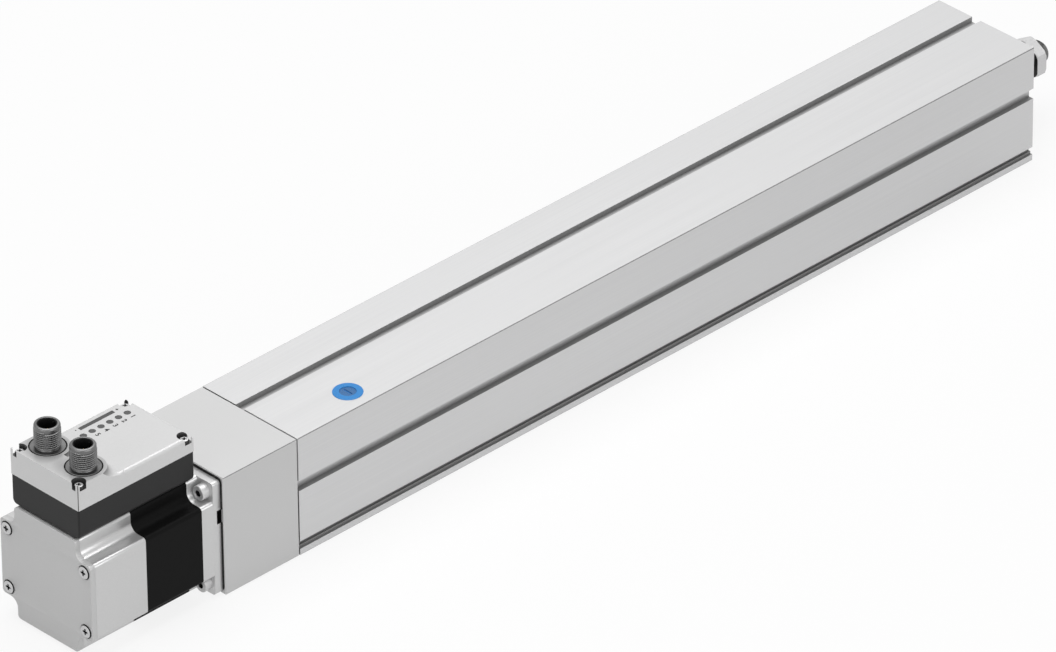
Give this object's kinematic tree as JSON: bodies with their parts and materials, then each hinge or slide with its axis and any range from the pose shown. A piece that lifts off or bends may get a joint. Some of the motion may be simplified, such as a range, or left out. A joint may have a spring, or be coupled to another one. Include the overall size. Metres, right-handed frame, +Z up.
{
  "type": "electric cylinder",
  "caption": "In-line electric cylinder: square grooved profile, hollow screw-driven piston rod with threaded end, and a flange motor with an electronics box on top.",
  "frame": {"origin": "centre of the profile's front face, on the rod's axis", "axes": "+X the way the rod extends, +Z up through the electronics box, +Y to the left seen from the motor"},
  "size_m": [0.6186, 0.06, 0.0985],
  "materials": {
    "brushed_aluminium": "brushed along the length, clear anodised",
    "blasted_aluminium": "fine matte blasted and anodised",
    "cast_aluminium": "machined die casting, light grey",
    "cover_paint": "satin light grey paint on a die casting",
    "black_paint": "matte black coated laminations",
    "steel": "ground steel",
    "zinc_steel": "bright zinc plated",
    "nickel_brass": "nickel plated",
    "gold_pin": "gold plated contacts",
    "bronze": "sintered bronze",
    "copper": "enamelled copper winding",
    "rubber": "matte black rubber",
    "guide_plastic": "dark low friction plastic",
    "black_plastic": "fine grained black plastic",
    "key_plastic": "dark grey key caps",
    "blue_plastic": "bright blue",
    "filter_mesh": "dark blue mesh",
    "circuit_board": "green circuit board",
    "dark_window": "dark translucent window",
    "magnet": "bonded magnet"
  },
  "bodies": {
    "housing": {"profile": "brushed_aluminium", "drive_cover": "blasted_aluminium", "profile_gasket": "rubber", "motor_gasket": "rubber", "cover_screws": "zinc_steel", "screw_bearing_outer": "steel", "bearing_balls": "steel", "bearing_retainer": "steel", "bumpers": "rubber", "front_cap": "blasted_aluminium", "rod_bush": "bronze", "rod_wiper": "rubber", "retaining_ring": "steel", "vent_plug": "blue_plastic", "vent_filter": "filter_mesh", "motor_flange": "cast_aluminium", "motor_screws": "zinc_steel", "motor_stator": "black_paint", "stator_windings": "copper", "motor_housing": "cast_aluminium", "motor_rear_cover": "cast_aluminium", "rear_cover_screws": "zinc_steel", "motor_bearing_outers": "steel", "encoder_board": "circuit_board", "electronics_base": "black_plastic", "base_gasket": "rubber", "control_board": "circuit_board", "electronics_cover": "cover_paint", "cover_seal": "rubber", "electronics_cover_screws": "zinc_steel", "connector_shell_left": "nickel_brass", "connector_shell_right": "nickel_brass", "connector_inserts": "black_plastic", "connector_pins": "gold_pin", "connector_o_rings": "rubber", "level_window": "dark_window"},
    "screw": {"screw_shaft": "steel", "screw_bearing_inner": "steel", "screw_lock_nut": "steel", "screw_tip_ring": "guide_plastic", "coupling_hub_motor": "blasted_aluminium", "coupling_hub_screw": "blasted_aluminium", "coupling_spider": "rubber", "motor_shaft": "steel", "motor_rotor": "steel", "motor_bearing_inners": "steel"},
    "rod": {"piston_rod": "steel", "rod_end": "steel", "rod_nut": "zinc_steel", "ball_nut": "steel", "ball_train": "steel", "nut_carrier": "blasted_aluminium", "guide_ring": "guide_plastic", "position_magnet": "magnet"},
    "key_1_cap": {"key_1": "key_plastic"},
    "key_2_cap": {"key_2": "key_plastic"},
    "key_3_cap": {"key_3": "key_plastic"},
    "key_4_cap": {"key_4": "key_plastic"},
    "key_5_cap": {"key_5": "key_plastic"},
    "key_6_cap": {"key_6": "key_plastic"}
  },
  "joints": [
    {"name": "screw_spin", "type": "hinge", "parent": "housing", "child": "screw", "pos_m": [0, 0, 0], "axis": [1, 0, 0], "range_deg": [-12600.5, 0]},
    {"name": "rod_slide", "type": "slide", "parent": "housing", "child": "rod", "axis": [1, 0, 0], "range_m": [0, 0.35]},
    {"name": "key_1_press", "type": "slide", "parent": "housing", "child": "key_1_cap", "axis": [0, 0, -1], "range_m": [0, 0.0005], "stiffness_N_per_m": 300},
    {"name": "key_2_press", "type": "slide", "parent": "housing", "child": "key_2_cap", "axis": [0, 0, -1], "range_m": [0, 0.0005], "stiffness_N_per_m": 300},
    {"name": "key_3_press", "type": "slide", "parent": "housing", "child": "key_3_cap", "axis": [0, 0, -1], "range_m": [0, 0.0005], "stiffness_N_per_m": 300},
    {"name": "key_4_press", "type": "slide", "parent": "housing", "child": "key_4_cap", "axis": [0, 0, -1], "range_m": [0, 0.0005], "stiffness_N_per_m": 300},
    {"name": "key_5_press", "type": "slide", "parent": "housing", "child": "key_5_cap", "axis": [0, 0, -1], "range_m": [0, 0.0005], "stiffness_N_per_m": 300},
    {"name": "key_6_press", "type": "slide", "parent": "housing", "child": "key_6_cap", "axis": [0, 0, -1], "range_m": [0, 0.0005], "stiffness_N_per_m": 300}
  ],
  "couplings": [
    {"joint": "screw_spin", "follows": "rod_slide", "rad_per_m": -628.32}
  ]
}
